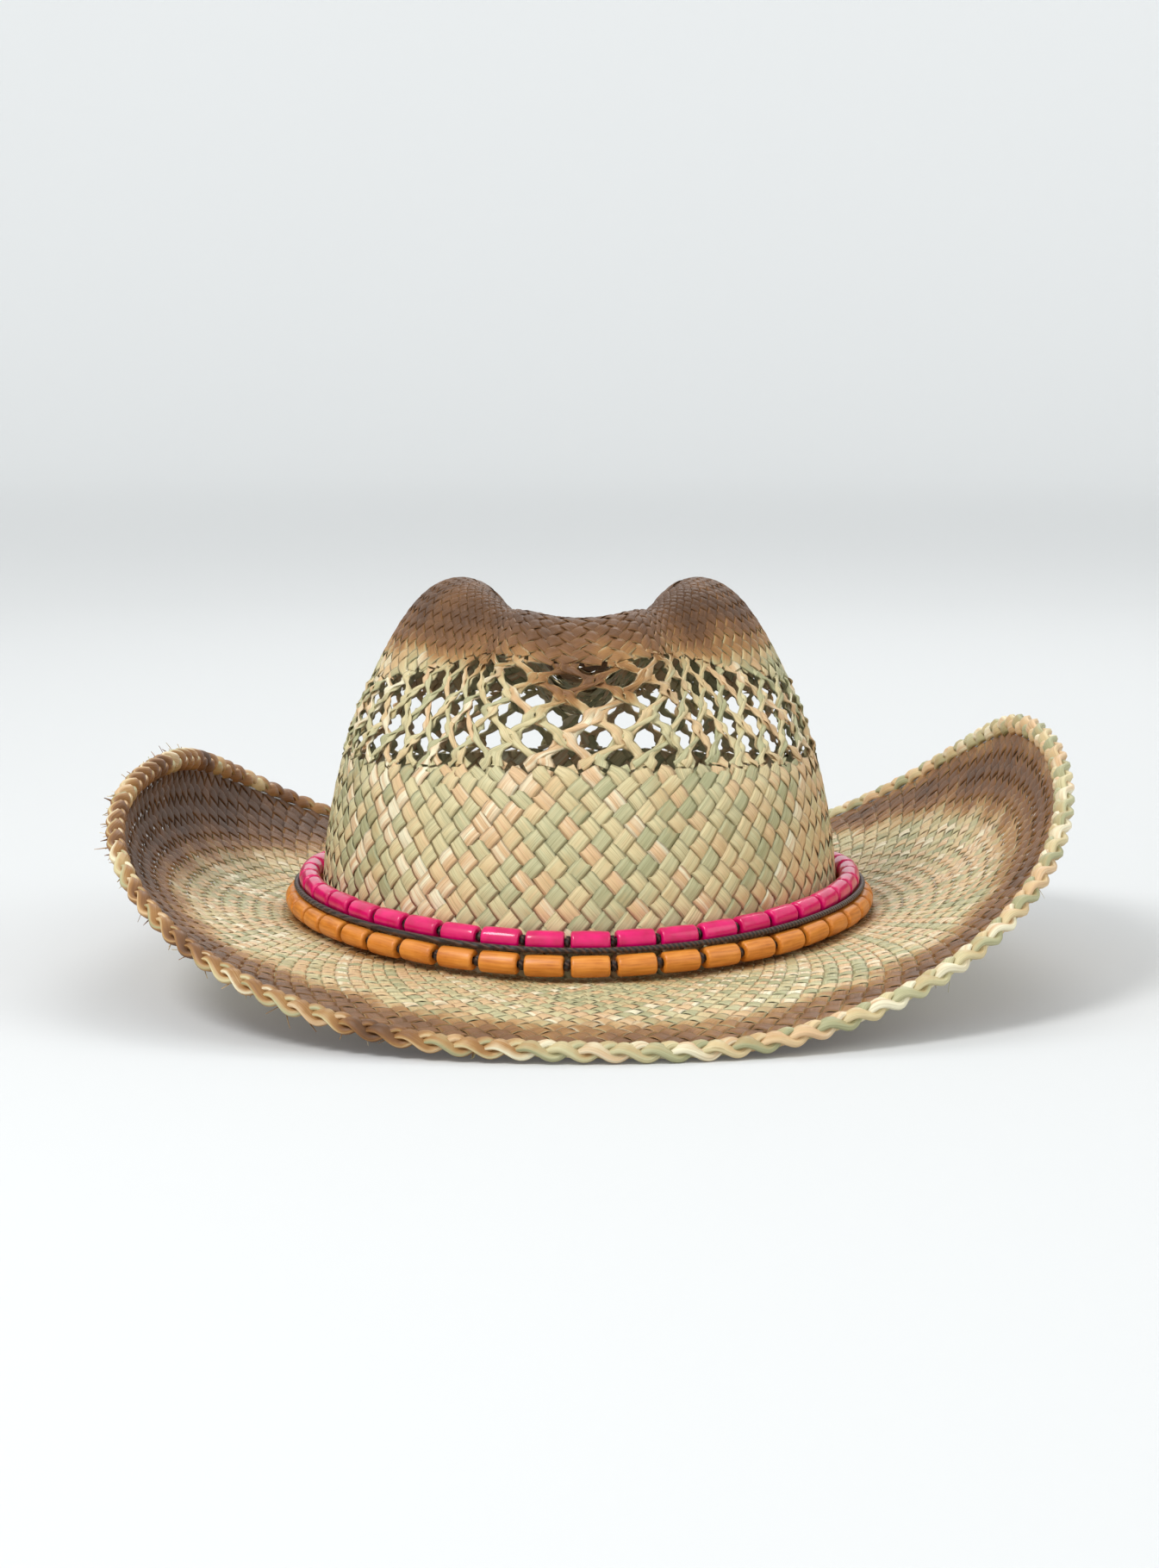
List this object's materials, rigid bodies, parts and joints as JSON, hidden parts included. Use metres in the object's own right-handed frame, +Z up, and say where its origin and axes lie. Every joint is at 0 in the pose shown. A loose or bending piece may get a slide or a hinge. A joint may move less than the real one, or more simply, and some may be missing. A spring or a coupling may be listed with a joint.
{
  "type": "cowboy hat",
  "caption": "Woven straw cowboy hat with pinched crown, openwork vent band, rolled brim with plaited edge, and a removable double-row beaded hatband.",
  "frame": {"origin": "middle of the head opening, on the plane that the front and back of the brim rest on", "axes": "-Y towards the wearer's face, +X towards the side with the higher brim, +Z up"},
  "size_m": [0.3131, 0.3913, 0.1291],
  "materials": {
    "straw": "plaited palm straw, toasted darker on the crown's top and the brim's rim",
    "braid": "plaited straw edge",
    "wire": "plain drawn wire",
    "sweatband": "woven cotton tape",
    "thread": "cotton thread",
    "pink_beads": "gloss lacquer",
    "orange_beads": "satin stain",
    "cord": "waxed cord"
  },
  "bodies": {
    "hat": {"brim": "straw", "brim_edge_braid": "braid", "brim_edge_wire": "wire", "crown_top": "straw", "crown_wall": "straw", "sweatband": "sweatband", "sweatband_stitching": "thread", "vent_strips_leaning_left": "straw", "vent_strips_leaning_right": "straw"},
    "hatband": {"band_tie_knot": "cord", "cord_between_rows": "cord", "orange_beads_arc_01": "orange_beads", "orange_beads_arc_02": "orange_beads", "orange_beads_arc_03": "orange_beads", "orange_beads_arc_04": "orange_beads", "orange_beads_arc_05": "orange_beads", "orange_beads_arc_06": "orange_beads", "orange_beads_arc_07": "orange_beads", "orange_beads_arc_08": "orange_beads", "orange_beads_arc_09": "orange_beads", "orange_beads_arc_10": "orange_beads", "orange_beads_arc_11": "orange_beads", "orange_row_cord": "cord", "orange_row_knots": "cord", "pink_beads_arc_01": "pink_beads", "pink_beads_arc_02": "pink_beads", "pink_beads_arc_03": "pink_beads", "pink_beads_arc_04": "pink_beads", "pink_beads_arc_05": "pink_beads", "pink_beads_arc_06": "pink_beads", "pink_beads_arc_07": "pink_beads", "pink_beads_arc_08": "pink_beads", "pink_beads_arc_09": "pink_beads", "pink_beads_arc_10": "pink_beads", "pink_beads_arc_11": "pink_beads", "pink_row_cord": "cord", "pink_row_knots": "cord"}
  },
  "joints": [
    {"name": "hatband_lift", "type": "slide", "parent": "hat", "child": "hatband", "axis": [0, 0, 1], "range_m": [0, 0.125]}
  ]
}
